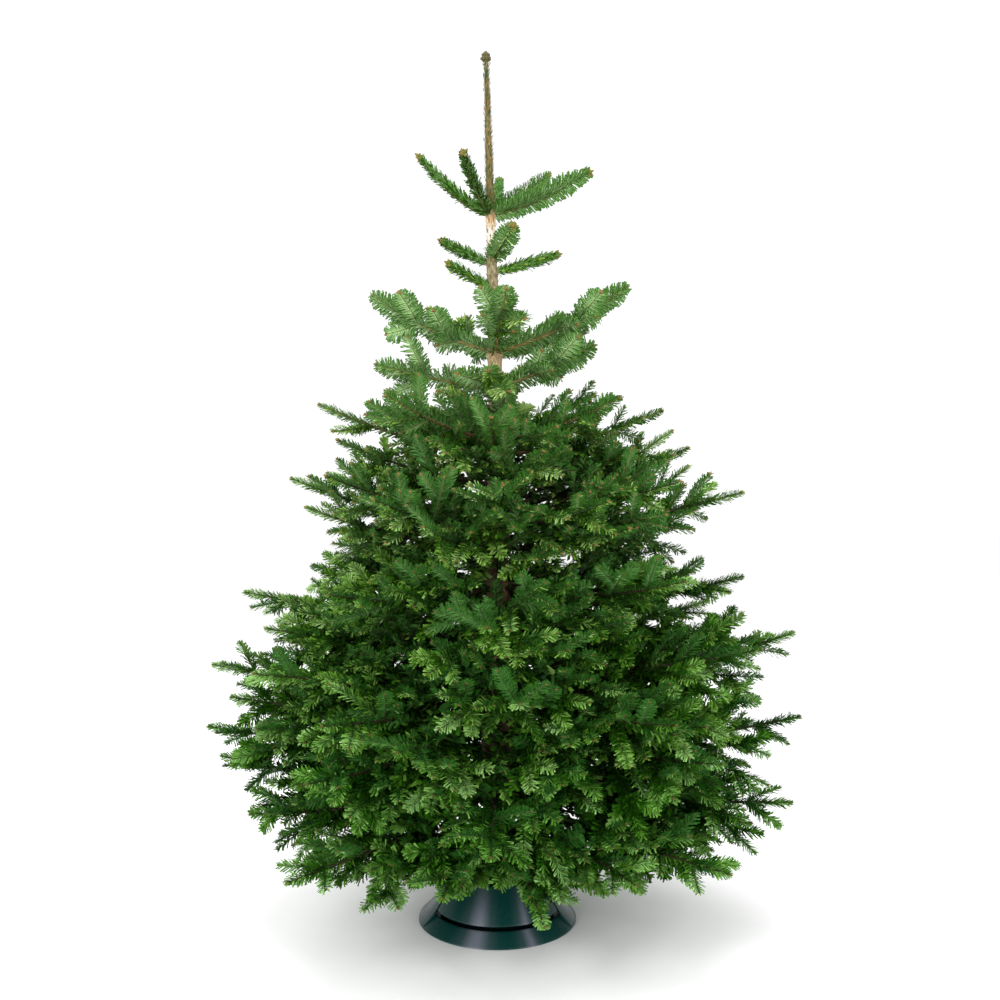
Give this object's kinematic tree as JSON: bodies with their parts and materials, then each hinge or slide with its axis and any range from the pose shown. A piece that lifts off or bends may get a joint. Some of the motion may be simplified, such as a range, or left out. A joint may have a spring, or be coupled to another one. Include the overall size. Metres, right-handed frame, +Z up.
{
  "type": "cut fir christmas tree in a stand",
  "caption": "Undecorated cut fir with tiered whorls of needled branches, a bare upright leader and a flared round plastic stand",
  "frame": {"origin": "centre of the flat underside of the stand", "axes": "+Z up along the trunk, +X to the right and -Y towards the viewer"},
  "size_m": [1.3742, 1.2049, 2.04],
  "materials": {
    "bark": "dry grey-brown bark with paler patches",
    "bough_bark": "smooth olive-brown young bark",
    "foliage": "glossy deep green needles, silvery underneath",
    "stand_plastic": "dark blue-green moulded plastic with a soft gloss",
    "screw_steel": "plain zinc-plated steel"
  },
  "bodies": {
    "root": {"trunk": "bark", "stand_base": "stand_plastic", "stand_bell": "stand_plastic", "clamp_screw_1": "screw_steel", "clamp_screw_2": "screw_steel", "clamp_screw_3": "screw_steel", "tier_2_bough_1": "bough_bark", "tier_2_bough_2": "bough_bark", "tier_2_bough_3": "bough_bark", "tier_1_mass_1": "foliage", "tier_1_mass_2": "foliage", "tier_1_mass_3": "foliage", "tier_1_mass_4": "foliage", "tier_1_mass_5": "foliage", "tier_1b_mass_1": "foliage", "tier_1b_mass_2": "foliage", "tier_1b_mass_3": "foliage", "tier_1b_mass_4": "foliage", "tier_2_mass_1": "foliage", "tier_2_mass_2": "foliage", "tier_2_mass_3": "foliage", "tier_2_mass_4": "foliage", "tier_2_mass_5": "foliage", "tier_2b_mass_1": "foliage", "tier_2b_mass_2": "foliage", "tier_2b_mass_3": "foliage", "tier_2b_mass_4": "foliage", "tier_3_mass_1": "foliage", "tier_3_mass_2": "foliage", "tier_3_mass_3": "foliage", "tier_3_mass_4": "foliage", "tier_3_mass_5": "foliage", "tier_4_mass_1": "foliage", "tier_4_mass_2": "foliage", "tier_4_mass_3": "foliage", "tier_4_mass_4": "foliage", "tier_4_mass_5": "foliage", "tier_4_mass_6": "foliage", "tier_5_mass_1": "foliage", "tier_5_mass_2": "foliage", "tier_5_mass_3": "foliage", "tier_5_mass_4": "foliage", "tier_5_mass_5": "foliage", "tier_6_mass_1": "foliage", "tier_6_mass_2": "foliage", "tier_6_mass_3": "foliage", "tier_6_mass_4": "foliage", "tier_6_mass_5": "foliage", "tier_7_mass_1": "foliage", "tier_7_mass_2": "foliage", "tier_7_mass_3": "foliage", "tier_7_mass_4": "foliage", "tier_7_mass_5": "foliage", "tier_8_mass_1": "foliage", "tier_8_mass_2": "foliage", "tier_8_mass_3": "foliage", "tier_8_mass_4": "foliage", "tier_8_mass_5": "foliage", "tier_8_mass_6": "foliage", "tier_8_mass_7": "foliage"}
  },
  "joints": []
}
